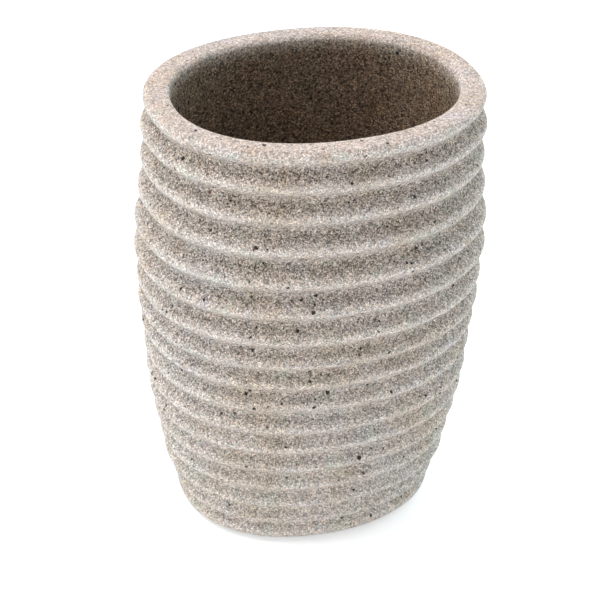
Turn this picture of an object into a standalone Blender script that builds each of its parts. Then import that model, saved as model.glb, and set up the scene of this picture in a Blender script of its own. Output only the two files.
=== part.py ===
"""An oval tumbler that holds toothbrushes: a ribbed body of cast stone resin, open at the top,
and a soft foam pad glued into the shallow recess under its foot.

Metres, +Z up. The origin is under the middle of the oval, on the surface that the tumbler
stands on. X runs along the oval's long axis and Y along its short one.
"""

import math

import bmesh
import bpy

# Driving dimensions of the body, in metres
rim_length = 0.0810  # across the rim's outside, along X
rim_width = 0.0664  # across the rim's outside, along Y
body_height = 0.1142  # from the foot to the top of the rim
rim_wall = 0.0063  # thickness of the wall at the rim
rim_outer_radius = 0.0016  # rounding of the rim's outer edge
rim_inner_radius = 0.0015  # rounding of the rim's inner edge
inside_taper = 0.0065  # how much the inside draws in on each side on its way down
inside_corner_radius = 0.0060  # rounding between the inner wall and the floor
floor_thickness = 0.0085  # from the foot up to the floor of the inside
foot_radius = 0.0029  # rounding of the foot's edge
foot_ring = 0.0030  # width of the flat ring round the recess under the foot

# Driving dimensions of the pad, in metres
pad_thickness = 0.0015  # foam sheet cut to the outline of the recess
pad_stand = 0.0008  # how far the pad holds the foot off the surface
glue_gap = 0.0003  # line of glue above the pad and round it

# Exponent of the oval plan: 2 is an ellipse, and more is squarer
plan_exponent = 2.17

# Sizes of the oval at the foot's edge and at the rim's, as shares of the rim
foot_share = 0.828
rim_share = 1.0

# The ribs from the foot to the rim: the height of each one's crest as a share of the body's, and
# the size of the oval there as a share of the rim. They are uneven, as on a pattern shaped by
# hand.
rib_shares = (
    (0.065, 0.855),
    (0.122, 0.909),
    (0.177, 0.934),
    (0.233, 0.967),
    (0.289, 0.995),
    (0.344, 1.013),
    (0.405, 1.023),
    (0.464, 1.036),
    (0.518, 1.053),
    (0.576, 1.058),
    (0.645, 1.072),
    (0.714, 1.065),
    (0.787, 1.041),
    (0.856, 1.022),
    (0.924, 1.021),
)

# Depth of the groove between two crests, as a share of the distance between them
groove_depth_share = 0.34

# Places between two crests at which the wave of the section has a station
wave_places = (0.1, 0.4, 0.5, 0.6, 0.9)

# Steps of the mesh
plan_steps = 44  # round the oval
edge_steps = 3  # round the edges of the rim and the foot
corner_steps = 4  # round the corner of the floor

quarter_turn = math.pi / 2
full_turn = 2 * math.pi


def station(size_share, inset, level):
    """One level of the outline: its size as a share of the rim's, less an inset all round."""
    half_length = size_share * rim_length / 2 - inset
    half_width = size_share * rim_width / 2 - inset
    return half_length, half_width, level


def arc(size_share, centre_inset, centre_level, radius, start, end, steps):
    """Stations round an arc. Its angle is 0 straight out from the centre and rises upwards."""
    stations = []
    for step in range(steps + 1):
        angle = start + (end - start) * step / steps
        inset = centre_inset - radius * math.cos(angle)
        level = centre_level + radius * math.sin(angle)
        stations.append(station(size_share, inset, level))
    return stations


def groove(lower_crest, upper_crest):
    """Stations of the soft wave between two crests, without the crests themselves."""
    lower_share, lower_level = lower_crest
    upper_share, upper_level = upper_crest
    distance = upper_level - lower_level
    stations = []
    for place in wave_places:
        size_share = lower_share + (upper_share - lower_share) * place
        inward = (1 - math.cos(full_turn * place)) / 2
        inset = groove_depth_share * distance * inward
        stations.append(station(size_share, inset, lower_level + distance * place))
    return stations


def outside():
    """Stations up the body's outside, from the foot's flat ring to the flat top of the rim."""
    foot_crest = (foot_share, pad_stand + foot_radius)
    rim_crest = (rim_share, pad_stand + body_height - rim_outer_radius)
    crests = [foot_crest]
    for height_share, size_share in rib_shares:
        crests.append((size_share, pad_stand + body_height * height_share))
    crests.append(rim_crest)
    stations = arc(
        foot_share, foot_radius, foot_crest[1], foot_radius, -quarter_turn, 0, edge_steps
    )
    for lower_crest, upper_crest in zip(crests, crests[1:]):
        size_share, level = upper_crest
        stations += groove(lower_crest, upper_crest)
        stations.append(station(size_share, 0, level))
    rim_edge = arc(
        rim_share, rim_outer_radius, rim_crest[1], rim_outer_radius, 0, quarter_turn, edge_steps
    )
    return stations + rim_edge[1:]


def inside():
    """Stations down the body's inside, from the flat top of the rim to the floor."""
    edge_level = pad_stand + body_height - rim_inner_radius
    corner_inset = rim_wall + inside_taper + inside_corner_radius
    corner_level = pad_stand + floor_thickness + inside_corner_radius
    stations = arc(
        rim_share,
        rim_wall - rim_inner_radius,
        edge_level,
        rim_inner_radius,
        quarter_turn,
        2 * quarter_turn,
        edge_steps,
    )
    stations += arc(
        rim_share, corner_inset, corner_level, inside_corner_radius, 0, -quarter_turn, corner_steps
    )
    return stations


def underside():
    """Stations of the recess under the foot, from its ceiling down to the foot's flat ring."""
    recess_inset = foot_radius + foot_ring
    ceiling = pad_thickness + glue_gap
    return [
        station(foot_share, recess_inset, ceiling),
        station(foot_share, recess_inset, pad_stand),
    ]


def pad_stations():
    """Stations of the pad: the recess's outline less the line of glue, from the bottom up."""
    pad_inset = foot_radius + foot_ring + glue_gap
    return [
        station(foot_share, pad_inset, 0),
        station(foot_share, pad_inset, pad_thickness),
    ]


def oval(half_length, half_width, level):
    """Points of the oval plan at one station, anticlockwise seen from above."""
    points = []
    for step in range(plan_steps):
        angle = full_turn * step / plan_steps
        along = math.copysign(abs(math.cos(angle)) ** (2 / plan_exponent), math.cos(angle))
        across = math.copysign(abs(math.sin(angle)) ** (2 / plan_exponent), math.sin(angle))
        points.append((half_length * along, half_width * across, level))
    return points


def loft(name, stations, sharp_angle):
    """A closed solid through the stations, with a flat face over the first and the last."""
    shape = bmesh.new()
    rings = []
    for half_length, half_width, level in stations:
        rings.append([shape.verts.new(point) for point in oval(half_length, half_width, level)])
    for lower, upper in zip(rings, rings[1:]):
        for step in range(plan_steps):
            after = (step + 1) % plan_steps
            shape.faces.new((lower[step], lower[after], upper[after], upper[step]))
    shape.faces.new(reversed(rings[0]))
    shape.faces.new(rings[-1])
    mesh = bpy.data.meshes.new(name)
    shape.to_mesh(mesh)
    shape.free()
    mesh.shade_smooth()
    mesh.set_sharp_from_angle(angle=sharp_angle)
    return mesh


def material(name, colour, roughness):
    """A plain surface of one colour, which isn't metal."""
    surface = bpy.data.materials.new(name)
    surface.use_nodes = True
    shader = surface.node_tree.nodes["Principled BSDF"]
    shader.inputs["Base Color"].default_value = (*colour, 1)
    shader.inputs["Roughness"].default_value = roughness
    shader.inputs["Metallic"].default_value = 0
    surface.diffuse_color = (*colour, 1)
    return surface


def place(name, mesh, surface):
    """Adds an object with this mesh and material to the scene."""
    mesh.materials.append(surface)
    node = bpy.data.objects.new(name, mesh)
    bpy.context.scene.collection.objects.link(node)
    return node


def tumbler_body():
    """The ribbed cup with its rounded rim, tapered inside and recessed foot."""
    stations = underside() + outside() + inside()
    stone = material("sand_stone_resin", (0.50, 0.44, 0.38), 0.85)
    return place("tumbler_body", loft("tumbler_body", stations, math.radians(50)), stone)


def base_pad():
    """The foam pad that the tumbler stands on."""
    foam = material("grey_foam", (0.10, 0.10, 0.10), 0.90)
    return place("base_pad", loft("base_pad", pad_stations(), math.radians(30)), foam)


for existing in list(bpy.data.objects):
    bpy.data.objects.remove(existing)
tumbler_body()
base_pad()
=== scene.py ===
"""The look of the ribbed oval tumbler: its cast stone resin, its foam pad, a pale studio and a
camera at the photograph's angle. Metres, +Z up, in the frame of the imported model."""

import math

import bmesh
import bpy
from mathutils import Matrix, Vector, noise


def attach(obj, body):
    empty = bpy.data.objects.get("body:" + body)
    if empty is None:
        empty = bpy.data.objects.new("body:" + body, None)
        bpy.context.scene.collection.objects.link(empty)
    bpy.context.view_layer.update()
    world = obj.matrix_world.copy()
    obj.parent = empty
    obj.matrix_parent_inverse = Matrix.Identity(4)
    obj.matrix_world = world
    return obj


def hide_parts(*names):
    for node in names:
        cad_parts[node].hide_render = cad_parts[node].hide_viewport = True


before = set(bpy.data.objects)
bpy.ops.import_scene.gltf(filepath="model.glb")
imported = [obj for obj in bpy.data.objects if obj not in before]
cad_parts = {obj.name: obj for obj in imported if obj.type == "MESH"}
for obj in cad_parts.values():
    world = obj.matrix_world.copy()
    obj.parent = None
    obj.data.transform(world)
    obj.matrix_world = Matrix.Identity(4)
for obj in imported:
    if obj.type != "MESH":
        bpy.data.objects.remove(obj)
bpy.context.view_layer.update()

# The body's and the pad's dimensions, in metres, as in the CAD
rim_length = 0.0810
rim_width = 0.0664
body_height = 0.1142
rim_wall = 0.0063
rim_outer_radius = 0.0016
rim_inner_radius = 0.0015
inside_taper = 0.0065
inside_corner_radius = 0.0060
floor_thickness = 0.0085
foot_radius = 0.0029
foot_ring = 0.0030
pad_thickness = 0.0015
pad_stand = 0.0008
glue_gap = 0.0003
plan_exponent = 2.17
foot_share = 0.828
rim_share = 1.0
groove_depth_share = 0.34
rib_shares = (
    (0.065, 0.855),
    (0.122, 0.909),
    (0.177, 0.934),
    (0.233, 0.967),
    (0.289, 0.995),
    (0.344, 1.013),
    (0.405, 1.023),
    (0.464, 1.036),
    (0.518, 1.053),
    (0.576, 1.058),
    (0.645, 1.072),
    (0.714, 1.065),
    (0.787, 1.041),
    (0.856, 1.022),
    (0.924, 1.021),
)
rim_level = pad_stand + body_height

# Unevenness of the casting
waver_depth = 0.00025  # how far the surface draws in at most, in metres
waver_scale = 70.0  # waves per metre

# Painted shade in the grooves between the crests: darker and with stronger grain, more so higher up
groove_shade_lean = 0.75  # over 1 puts the darkest level above the middle of the hollow, under 1 below
groove_shade_low = 0.015  # the level up to which the hollows are faint
groove_shade_high = 0.095  # the level from which they are full
groove_shade_faint = 0.35  # strength of the faint ones

# Painted shade inside the cup, darker and browner: it sets in between these two depths below the
# top of the rim, in metres
inside_shade_start = 0.0008
inside_shade_end = 0.0028

# Pinker on the rim's flat top: the tone fades out over this height below it, in metres
top_tone_height = 0.0012

# Edges of the foam pad, in metres
pad_edge_radius = 0.0003  # rounding of its cut edges
pad_edge_draw = 0.00015  # how far the cut edge draws in at the middle of its height
pad_waver_depth = 0.00008  # how far the cut wanders inwards at most
pad_waver_scale = 400.0  # waves per metre

# Steps of the mesh
plan_steps = 340
wave_steps = 12
edge_steps = 8
wall_steps = 32
top_steps = 6
pad_rings = 12

quarter_turn = math.pi / 2
full_turn = 2 * math.pi
sharp_angle = math.radians(50)  # a steeper edge than this isn't shaded as smooth


def share_between(value, start, end):
    """How far a value is from the start to the end, from 0 to 1."""
    return min(max((value - start) / (end - start), 0.0), 1.0)


def station(size_share, inset, level):
    """One level of the outline: its size as a share of the rim's, less an inset all round."""
    half_length = size_share * rim_length / 2 - inset
    half_width = size_share * rim_width / 2 - inset
    return half_length, half_width, level


def arc(size_share, centre_inset, centre_level, radius, start, end):
    """Stations round an arc. Its angle is 0 straight out from the centre and rises upwards."""
    stations = []
    for step in range(edge_steps + 1):
        angle = start + (end - start) * step / edge_steps
        inset = centre_inset - radius * math.cos(angle)
        level = centre_level + radius * math.sin(angle)
        stations.append(station(size_share, inset, level))
    return stations


def between(first, last, steps):
    """Stations on the straight way from one to another, without either of them."""
    stations = []
    for step in range(1, steps):
        share = step / steps
        stations.append(tuple(a + (b - a) * share for a, b in zip(first, last)))
    return stations


def groove(lower_crest, upper_crest):
    """Stations of the soft wave between two crests, without the crests themselves."""
    lower_share, lower_level = lower_crest
    upper_share, upper_level = upper_crest
    distance = upper_level - lower_level
    stations = []
    for step in range(1, wave_steps):
        place = step / wave_steps
        size_share = lower_share + (upper_share - lower_share) * place
        inward = (1 - math.cos(full_turn * place)) / 2
        inset = groove_depth_share * distance * inward
        stations.append(station(size_share, inset, lower_level + distance * place))
    return stations


def outside_crests():
    """The size and the level of each crest, with the foot's edge first and the rim's last."""
    crests = [(foot_share, pad_stand + foot_radius)]
    for height_share, size_share in rib_shares:
        crests.append((size_share, pad_stand + body_height * height_share))
    crests.append((rim_share, rim_level - rim_outer_radius))
    return crests


def outside():
    """Stations up the body's outside, from the foot's flat ring to the flat top of the rim."""
    crests = outside_crests()
    stations = arc(foot_share, foot_radius, crests[0][1], foot_radius, -quarter_turn, 0)
    for lower_crest, upper_crest in zip(crests, crests[1:]):
        size_share, level = upper_crest
        stations += groove(lower_crest, upper_crest)
        stations.append(station(size_share, 0, level))
    rim_edge = arc(rim_share, rim_outer_radius, crests[-1][1], rim_outer_radius, 0, quarter_turn)
    return stations + rim_edge[1:]


def inside():
    """Stations down the body's inside, from the flat top of the rim to the floor."""
    edge_inset = rim_wall - rim_inner_radius
    edge_level = rim_level - rim_inner_radius
    corner_inset = rim_wall + inside_taper + inside_corner_radius
    corner_level = pad_stand + floor_thickness + inside_corner_radius
    edge = arc(rim_share, edge_inset, edge_level, rim_inner_radius, quarter_turn, 2 * quarter_turn)
    corner = arc(rim_share, corner_inset, corner_level, inside_corner_radius, 0, -quarter_turn)
    return edge + between(edge[-1], corner[0], wall_steps) + corner


def underside():
    """Stations of the recess under the foot, from its ceiling down to the foot's flat ring."""
    recess_inset = foot_radius + foot_ring
    ceiling = pad_thickness + glue_gap
    return [
        station(foot_share, recess_inset, ceiling),
        station(foot_share, recess_inset, pad_stand),
    ]


def pad_stations():
    """Stations of the pad from the middle of its underside, round its edge, to the top's middle."""
    outline_inset = foot_radius + foot_ring + glue_gap
    edge_inset = outline_inset + pad_edge_radius
    low = pad_edge_radius
    high = pad_thickness - pad_edge_radius
    low_edge = arc(foot_share, edge_inset, low, pad_edge_radius, -quarter_turn, 0)
    high_edge = arc(foot_share, edge_inset, high, pad_edge_radius, 0, quarter_turn)
    side = []
    for step in range(1, wave_steps):
        place = step / wave_steps
        inset = outline_inset + pad_edge_draw * math.sin(math.pi * place)
        side.append(station(foot_share, inset, low + (high - low) * place))
    half_length, half_width, _ = low_edge[0]
    centre = (half_length / pad_rings, half_width / pad_rings)
    low_centre = (*centre, 0.0)
    high_centre = (*centre, pad_thickness)
    under = [low_centre] + between(low_centre, low_edge[0], pad_rings)
    over = between(high_edge[-1], high_centre, pad_rings) + [high_centre]
    return under + low_edge + side + high_edge + over


def oval_point(angle):
    """Where the unit oval's outline is at this angle."""
    along = math.copysign(abs(math.cos(angle)) ** (2 / plan_exponent), math.cos(angle))
    across = math.copysign(abs(math.sin(angle)) ** (2 / plan_exponent), math.sin(angle))
    return along, across


def groove_shade_at(level):
    """How much painted shade a level gets between two crests: 0 on a crest and 1 at most."""
    crests = outside_crests()
    height = share_between(level, groove_shade_low, groove_shade_high)
    for (_, low), (_, high) in zip(crests, crests[1:]):
        if low <= level <= high:
            place = (level - low) / (high - low)
            deep = math.sin(math.pi * place**groove_shade_lean) ** 2
            return deep * (groove_shade_faint + (1 - groove_shade_faint) * height)
    return 0.0


def loft(name, stations, wandering, depth, scale):
    """A closed mesh through the stations, whose surface draws in unevenly at the wandering ones."""
    outline = [oval_point(full_turn * step / plan_steps) for step in range(plan_steps)]
    shape = bmesh.new()
    rings = []
    for index, (half_length, half_width, level) in enumerate(stations):
        ring = []
        for along, across in outline:
            point = Vector((half_length * along, half_width * across, level))
            if index in wandering:
                outward = Vector((along / half_length, across / half_width, 0)).normalized()
                point -= outward * depth * (1 + noise.noise(point * scale)) / 2
            ring.append(shape.verts.new(point))
        rings.append(ring)
    for lower, upper in zip(rings, rings[1:]):
        for step in range(plan_steps):
            after = (step + 1) % plan_steps
            shape.faces.new((lower[step], lower[after], upper[after], upper[step]))
    shape.faces.new(reversed(rings[0]))
    shape.faces.new(rings[-1])
    mesh = bpy.data.meshes.new(name)
    shape.to_mesh(mesh)
    shape.free()
    mesh.shade_smooth()
    mesh.set_sharp_from_angle(angle=sharp_angle)
    return mesh


def mark(mesh, name, shares):
    """Gives each ring of points in the mesh a number that its material reads."""
    values = [share for share in shares for step in range(plan_steps)]
    mesh.attributes.new(name, "FLOAT", "POINT").data.foreach_set("value", values)


def grey(level):
    """A colour of one level in all three channels."""
    return (level, level, level, 1)


class Shader:
    """Short calls that add nodes to one material."""

    def __init__(self, name):
        self.material = bpy.data.materials.new(name)
        self.material.use_nodes = True
        self.nodes = self.material.node_tree.nodes
        self.links = self.material.node_tree.links
        self.surface = self.nodes["Principled BSDF"]

    def add(self, kind, inputs=(), **settings):
        """A node with these settings. A value of an input is a number, a colour or a socket."""
        node = self.nodes.new(kind)
        for key, value in settings.items():
            setattr(node, key, value)
        for key, value in dict(inputs).items():
            self.put(node.inputs[key], value)
        return node

    def put(self, socket, value):
        """Links a socket to an output, or sets its value."""
        if isinstance(value, bpy.types.NodeSocket):
            self.links.new(value, socket)
        else:
            socket.default_value = value

    def math(self, operation, *values):
        """The result of a sum on numbers and sockets."""
        inputs = dict(enumerate(values))
        return self.add("ShaderNodeMath", inputs, operation=operation).outputs["Value"]

    def mix(self, share, first, second, blend="MIX"):
        """Two colours mixed. The sockets go by number, because their names repeat."""
        inputs = {0: share, 6: first, 7: second}
        return self.add("ShaderNodeMix", inputs, data_type="RGBA", blend_type=blend).outputs[2]

    def tinted(self, colour, tint, share=1.0):
        """A colour times a tint, by this share of it."""
        return self.mix(share, colour, tint, "MULTIPLY")

    def ramp(self, share, *stops):
        """A colour ramp through (place, colour) stops."""
        node = self.nodes.new("ShaderNodeValToRGB")
        elements = node.color_ramp.elements
        while len(elements) < len(stops):
            elements.new(0.5)
        for element, (place, colour) in zip(elements, stops):
            element.position = place
            element.color = colour
        self.put(node.inputs[0], share)
        return node.outputs["Color"]

    def rise(self, share, start, end, strength=1.0):
        """A grey that is 0 up to the start, and has this strength from the end on."""
        return self.ramp(share, (start, grey(0.0)), (end, grey(strength)))

    def noise(self, place, scale, detail, roughness=0.5):
        """A smooth noise round 0.5."""
        inputs = {"Vector": place, "Scale": scale, "Detail": detail, "Roughness": roughness}
        return self.add("ShaderNodeTexNoise", inputs).outputs["Fac"]

    def cells(self, place, scale):
        """Distance to the middle of a cell, and three numbers that differ from cell to cell."""
        node = self.add("ShaderNodeTexVoronoi", {"Vector": place, "Scale": scale})
        parts = self.add("ShaderNodeSeparateColor", {"Color": node.outputs["Color"]})
        return node.outputs["Distance"], *parts.outputs

    def bend(self, place, wander, reach):
        """The place, moved by up to this reach as a noise's colour says."""
        inputs = {0: wander, 1: (reach, reach, reach), 2: place}
        return self.add("ShaderNodeVectorMath", inputs, operation="MULTIPLY_ADD").outputs[0]

    def marked(self, name):
        """The number that the mesh gives its points under this name."""
        return self.add("ShaderNodeAttribute", attribute_name=name).outputs["Fac"]

    def bump(self, height, distance, strength):
        """Raises the surface by this height times the distance, in metres."""
        inputs = {"Height": height, "Strength": strength, "Distance": distance}
        normal = self.add("ShaderNodeBump", inputs).outputs["Normal"]
        self.put(self.surface.inputs["Normal"], normal)


# Stone: scales of its patterns, in cells or waves per metre
wander_scale = 1500
grain_scale = 2300
fine_grain_scale = 4100
sand_scale = 3000
pit_scale = 740
dot_scale = 1500
cluster_scale = 110

# Stone: how far the outlines of its grains and its pits wander, in metres
grain_wander = 0.0005
pit_wander = 0.0011

# Stone: the colours of the grains, the brightness of the coarse and of the fine ones, and the
# binder's tone, which sets in towards a grain's edge
grain_tints = (
    (0.00, (0.96, 0.81, 0.68, 1)),
    (0.25, (0.92, 0.84, 0.83, 1)),
    (0.50, (0.89, 0.83, 0.75, 1)),
    (0.75, (0.91, 0.76, 0.66, 1)),
    (1.00, (0.98, 0.86, 0.81, 1)),
)
grain_levels = ((0.0, grey(0.22)), (0.20, grey(0.68)), (0.55, grey(0.93)), (1.0, grey(1.04)))
fine_levels = ((0.0, grey(0.05)), (0.28, grey(0.57)), (0.7, grey(0.96)), (1.0, grey(1.38)))
binder_tones = ((0.38, grey(1.0)), (0.80, (0.66, 0.61, 0.56, 1)))

# Stone: patches of other colours. Each has the scale and the detail of its noise, the two levels
# of the noise between which it sets in, its strength and its colour
patches = (
    (70, 3, 0.46, 0.64, 0.55, (0.82, 0.69, 0.55, 1)),
    (45, 2, 0.50, 0.66, 0.70, (0.86, 0.80, 0.76, 1)),
    (160, 2, 0.60, 0.76, 0.50, (0.84, 0.80, 0.86, 1)),
    (130, 2, 0.58, 0.74, 0.50, (0.82, 0.86, 0.76, 1)),
    (200, 2, 0.62, 0.76, 0.60, (0.76, 0.58, 0.45, 1)),
)

# Stone: how strongly the grains show on a crest, and how much more so where shade is painted, in a
# groove and inside
crest_contrast = 0.70
shaded_grain_contrast = 0.30
inside_shade_contrast = 0.55

# Stone: tones of the full painted shade in a groove, of the painted shade inside and of the rim's
# top
painted_shade_tone = (0.75, 0.72, 0.69, 1)
inside_shade_tone = (0.78, 0.68, 0.55, 1)
top_tone = (1.04, 0.99, 0.985, 1)

# Stone: pits and small dots. A cell has one where its random number is over the rarity, and the
# further over, the larger, in shares of a cell. Pits are larger where they cluster
pit_rarity = 0.865
pit_growth = 1.3
cluster_start = 0.40
cluster_end = 0.62
cluster_extra = 0.25
pit_edge = 0.06
dot_rarity = 0.91
dot_growth = 4.0
dot_edge = 0.10
dot_strength = 0.8
pit_cover = 0.97
pit_colours = ((0.80, (0.018, 0.015, 0.013, 1)), (0.84, (0.16, 0.08, 0.04, 1)))

# Stone: finish, and how high each pattern stands, in shares of the bump
stone_roughness = ((0.30, grey(0.95)), (0.70, grey(0.80)))
stone_specular = 0.30
grain_rounding = -0.9
grain_step = 0.5
fine_rounding = -1.0
pit_depth = 1.5
stone_bump = 0.00022  # in metres

# Foam: scales in cells or waves per metre, tones and finish
foam_scale = 2400
foam_tones = ((0.10, (0.050, 0.050, 0.052, 1)), (0.60, (0.120, 0.120, 0.118, 1)))
wear_scale = 180
wear_start = 0.40
wear_end = 0.70
wear_strength = 0.5
wear_tone = (0.16, 0.155, 0.15, 1)
foam_roughness = ((0.0, grey(0.80)), (1.0, grey(0.96)))
foam_bump = 0.00015  # in metres


def pits(s, place, wander):
    """How much of a pit there is at a place, and the pit's colour."""
    pit_place = s.bend(place, wander, pit_wander)
    pit_away, _, picked, turned = s.cells(pit_place, pit_scale)
    clusters = s.noise(place, cluster_scale, detail=1)
    clusters = s.rise(clusters, cluster_start, cluster_end, cluster_extra)
    radius = s.math("MULTIPLY", s.math("SUBTRACT", picked, pit_rarity), pit_growth)
    radius = s.math("ADD", radius, clusters)
    pit = s.rise(s.math("SUBTRACT", radius, pit_away), 0.0, pit_edge)
    dot_away, _, chosen, _ = s.cells(pit_place, dot_scale)
    radius = s.math("MULTIPLY", s.math("SUBTRACT", chosen, dot_rarity), dot_growth)
    dot = s.rise(s.math("SUBTRACT", radius, dot_away), 0.0, dot_edge, dot_strength)
    return s.math("MAXIMUM", pit, dot), s.ramp(turned, *pit_colours)


def stone():
    """Cast stone resin: rounded grains of sand in a darker binder, stains and open pits, with shade
    painted in the grooves and inside.
    """
    s = Shader("cast_stone_resin")
    place = s.add("ShaderNodeTexCoord").outputs["Object"]
    warp = s.add("ShaderNodeTexNoise", {"Vector": place, "Scale": wander_scale, "Detail": 1})
    wander = warp.outputs["Color"]
    grain_place = s.bend(place, wander, grain_wander)
    away, level, hue, _ = s.cells(grain_place, grain_scale)
    fine_away, fine_level, _, _ = s.cells(grain_place, fine_grain_scale)
    # Painted shade in the grooves between the crests and inside the cup, as the mesh marks it
    painted_shade = s.marked("painted_shade")
    # The inner mark: painted shade inside the cup, from just under the rim's edge down
    inner = s.marked("inner")
    top = s.marked("top")

    colour = s.ramp(hue, *grain_tints)
    for scale, detail, start, end, strength, tint in patches:
        share = s.rise(s.noise(place, scale, detail), start, end, strength)
        colour = s.mix(share, colour, tint)
    grains = s.tinted(s.ramp(level, *grain_levels), s.ramp(away, *binder_tones))
    grains = s.tinted(grains, s.ramp(fine_level, *fine_levels))
    # Stronger grain where shade is painted, standing in for relief shading
    contrast = s.math("ADD", s.math("MULTIPLY", painted_shade, shaded_grain_contrast), crest_contrast)
    colour = s.tinted(colour, grains, contrast)
    # Painted shade: darker in the grooves and inside the cup
    colour = s.tinted(colour, painted_shade_tone, painted_shade)
    pit, pit_colour = pits(s, place, wander)
    colour = s.mix(s.math("MULTIPLY", pit, pit_cover), colour, pit_colour)
    # Painted shade inside the cup: stronger grain, then a darker, browner tone
    colour = s.tinted(colour, grains, s.math("MULTIPLY", inner, inside_shade_contrast))
    colour = s.tinted(colour, inside_shade_tone, inner)
    colour = s.tinted(colour, top_tone, top)
    s.put(s.surface.inputs["Base Color"], colour)

    sand = s.noise(place, sand_scale, detail=2, roughness=0.6)
    s.put(s.surface.inputs["Roughness"], s.ramp(sand, *stone_roughness))
    s.surface.inputs["Specular IOR Level"].default_value = stone_specular
    height = s.math("MULTIPLY", away, grain_rounding)
    height = s.math("ADD", height, s.math("MULTIPLY", level, grain_step))
    height = s.math("ADD", height, s.math("MULTIPLY", fine_away, fine_rounding))
    height = s.math("SUBTRACT", height, s.math("MULTIPLY", pit, pit_depth))
    s.bump(height, stone_bump, strength=1.0)
    return s.material


def foam():
    """Closed-cell foam: dark, matte, with fine cells and paler worn patches."""
    s = Shader("closed_cell_foam")
    place = s.add("ShaderNodeTexCoord").outputs["Object"]
    away, level, _, _ = s.cells(place, foam_scale)
    wear = s.rise(s.noise(place, wear_scale, detail=3), wear_start, wear_end, wear_strength)
    colour = s.mix(wear, s.ramp(away, *foam_tones), wear_tone)
    s.put(s.surface.inputs["Base Color"], colour)
    s.put(s.surface.inputs["Roughness"], s.ramp(level, *foam_roughness))
    s.bump(away, foam_bump, strength=0.7)
    return s.material


def show(name, mesh, material, node):
    """Adds a piece that stands for a CAD node."""
    piece = bpy.data.objects.new(name, mesh)
    mesh.materials.append(material)
    bpy.context.scene.collection.objects.link(piece)
    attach(piece, "root")
    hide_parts(node)
    return piece


def tumbler():
    """The stone tumbler, uneven outside between the foot's ring and the rim's edge."""
    outer = underside() + outside()
    inner = inside()
    top = between(outer[-1], inner[0], top_steps)
    wandering = range(len(underside()) + 1, len(outer) - edge_steps)
    stations = outer + top + inner
    mesh = loft("stone_tumbler", stations, wandering, waver_depth, waver_scale)
    painted_shade_shares = []
    inside_shade_shares = []
    top_shares = []
    for index, (_, _, level) in enumerate(stations):
        below = rim_level - level
        within = index >= len(outer)
        depth = share_between(below, inside_shade_start, inside_shade_end) if within else 0.0
        # Painted shade: in the grooves outside, and inside the cup below the rim's edge
        painted_shade_shares.append(groove_shade_at(level) if index in wandering else depth)
        inside_shade_shares.append(depth)
        top_shares.append(max(1 - below / top_tone_height, 0.0))
    mark(mesh, "painted_shade", painted_shade_shares)
    mark(mesh, "inner", inside_shade_shares)
    mark(mesh, "top", top_shares)
    show("stone_tumbler", mesh, stone(), "tumbler_body")


def pad():
    """The foam pad under the foot, with its cut edge slightly drawn in."""
    stations = pad_stations()
    flat = pad_rings + edge_steps // 2
    wandering = range(flat, len(stations) - flat)
    mesh = loft("foam_pad", stations, wandering, pad_waver_depth, pad_waver_scale)
    piece = show("foam_pad", mesh, foam(), "base_pad")


# Studio
white = grey(1.0)
floor_reach = 4.0  # from its middle to each side, in metres
floor_gap = 0.00002  # keeps the floor from sharing a plane with the pad's underside, in metres
floor_colour = grey(0.86)
floor_roughness = 0.9
floor_glow = 0.42  # brings the floor up to white where it is seen
world_light = 0.44  # how strongly the background lights the tumbler
world_seen = 1.0  # how strong the background is where it is seen


def studio_floor():
    """A white floor under and behind the tumbler, which keeps its soft shadow."""
    shape = bmesh.new()
    bmesh.ops.create_grid(shape, x_segments=1, y_segments=1, size=floor_reach)
    mesh = bpy.data.meshes.new("studio_floor")
    shape.to_mesh(mesh)
    shape.free()
    floor = bpy.data.objects.new("studio_floor", mesh)
    floor.location.z = -floor_gap
    bpy.context.scene.collection.objects.link(floor)
    s = Shader("studio_white")
    s.surface.inputs["Base Color"].default_value = floor_colour
    s.surface.inputs["Roughness"].default_value = floor_roughness
    s.surface.inputs["Emission Color"].default_value = white
    path = s.add("ShaderNodeLightPath")
    seen = s.math("MAXIMUM", path.outputs["Is Camera Ray"], path.outputs["Is Glossy Ray"])
    seen = s.math("MAXIMUM", seen, path.outputs["Is Transmission Ray"])
    s.put(s.surface.inputs["Emission Strength"], s.math("MULTIPLY", seen, floor_glow))
    mesh.materials.append(s.material)


def studio_world():
    """Even light from all round, and a white background where it is seen."""
    world = bpy.data.worlds.new("studio")
    bpy.context.scene.world = world
    world.use_nodes = True
    nodes = world.node_tree.nodes
    links = world.node_tree.links
    background = nodes["Background"]
    path = nodes.new("ShaderNodeLightPath")
    strength = nodes.new("ShaderNodeMapRange")
    strength.inputs["To Min"].default_value = world_light
    strength.inputs["To Max"].default_value = world_seen
    seen = path.outputs["Is Camera Ray"]
    for kind in ("Is Glossy Ray", "Is Transmission Ray"):
        either = nodes.new("ShaderNodeMath")
        either.operation = "MAXIMUM"
        links.new(seen, either.inputs[0])
        links.new(path.outputs[kind], either.inputs[1])
        seen = either.outputs["Value"]
    links.new(seen, strength.inputs["Value"])
    links.new(strength.outputs["Result"], background.inputs["Strength"])
    background.inputs["Color"].default_value = white


# The photograph's camera. Angles are in degrees, and lengths in metres where nothing is said
camera_azimuth = -20.365
camera_elevation = 32.66
camera_roll = -1.86
rim_away = 0.41925  # from the camera to the middle of the rim, along its line of sight
rim_aside = 0.00368  # how far right of that line the middle of the rim is
rim_above = 0.05005  # how far above it
sensor_width = 36.0  # in millimetres
focal_length = 108.0  # in millimetres
nearest_seen = 0.01

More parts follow.
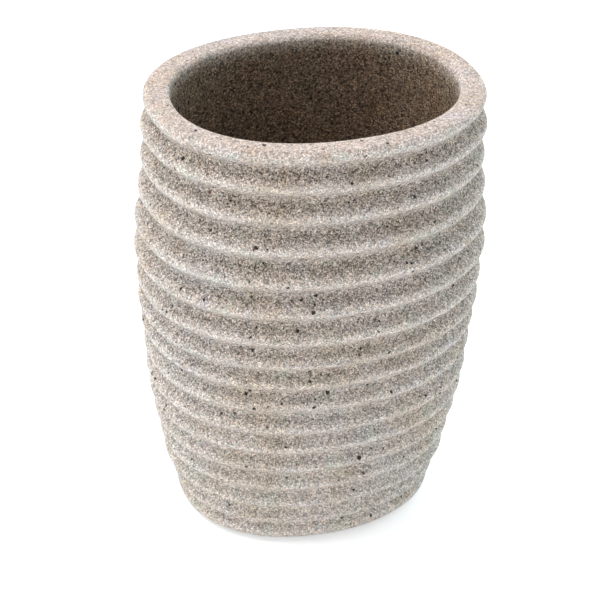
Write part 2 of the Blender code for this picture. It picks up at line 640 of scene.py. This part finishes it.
# Soft lamps: broad and strong light from above and behind, and weaker light from low down. Each
# has its azimuth from the camera's and its elevation, in degrees, its distance, width and height,
# in metres, its watts and its colour
softboxes = (
    ("top_left", -90, 60, 1.4, 1.0, 1.0, 15.0, (1.0, 0.93, 0.92)),
    ("back", 180, 20, 1.2, 1.6, 0.6, 9.8, (0.92, 0.98, 1.0)),
    ("right_back", 135, 25, 1.2, 1.0, 1.0, 7.4, (0.72, 0.92, 1.0)),
    ("left_back", -130, 15, 1.2, 0.8, 0.8, 1.8, (0.72, 0.92, 1.0)),
    ("front_low", 0, 4, 0.9, 1.0, 0.12, 2.8, (1.0, 1.0, 1.0)),
    ("left_low", -75, 6, 0.9, 0.8, 0.2, 4.0, (0.72, 0.92, 1.0)),
    ("right_low", 75, 6, 0.9, 0.8, 0.2, 2.5, (0.66, 0.90, 1.0)),
)


def direction(azimuth, elevation):
    """The way to something at this azimuth and elevation, in degrees. 0 is on the -Y side."""
    turn = math.radians(azimuth)
    rise = math.radians(elevation)
    along = math.sin(turn) * math.cos(rise)
    across = -math.cos(turn) * math.cos(rise)
    return Vector((along, across, math.sin(rise)))


def photo_camera():
    """The camera at the photograph's angle, as measured from the tumbler's outlines."""
    roll = math.radians(camera_roll)
    back = direction(camera_azimuth, camera_elevation)
    side = direction(camera_azimuth + 90, 0)
    rise = back.cross(side)
    right = side * math.cos(roll) - rise * math.sin(roll)
    up = side * math.sin(roll) + rise * math.cos(roll)
    rim_centre = Vector((0, 0, rim_level))
    place = rim_centre + back * rim_away - right * rim_aside - up * rim_above
    lens = bpy.data.cameras.new("photo_camera")
    lens.sensor_width = sensor_width
    lens.lens = focal_length
    lens.clip_start = nearest_seen
    camera = bpy.data.objects.new("photo_camera", lens)
    turn = Matrix((right, up, back)).transposed()
    camera.matrix_world = Matrix.Translation(place) @ turn.to_4x4()
    bpy.context.scene.collection.objects.link(camera)
    bpy.context.scene.camera = camera


def lamps():
    """The soft lamps, each pointed at the middle of the tumbler."""
    middle = Vector((0, 0, body_height / 2))
    for name, azimuth, elevation, distance, width, height, watts, colour in softboxes:
        lamp = bpy.data.lights.new(name, "AREA")
        lamp.shape = "RECTANGLE"
        lamp.size = width
        lamp.size_y = height
        lamp.energy = watts
        lamp.color = colour
        holder = bpy.data.objects.new(name, lamp)
        way = direction(camera_azimuth + azimuth, elevation)
        holder.location = middle + way * distance
        holder.rotation_euler = way.to_track_quat("Z", "Y").to_euler()
        bpy.context.scene.collection.objects.link(holder)


tumbler()
pad()
studio_floor()
studio_world()
lamps()
photo_camera()
bpy.context.scene.view_settings.view_transform = "Standard"
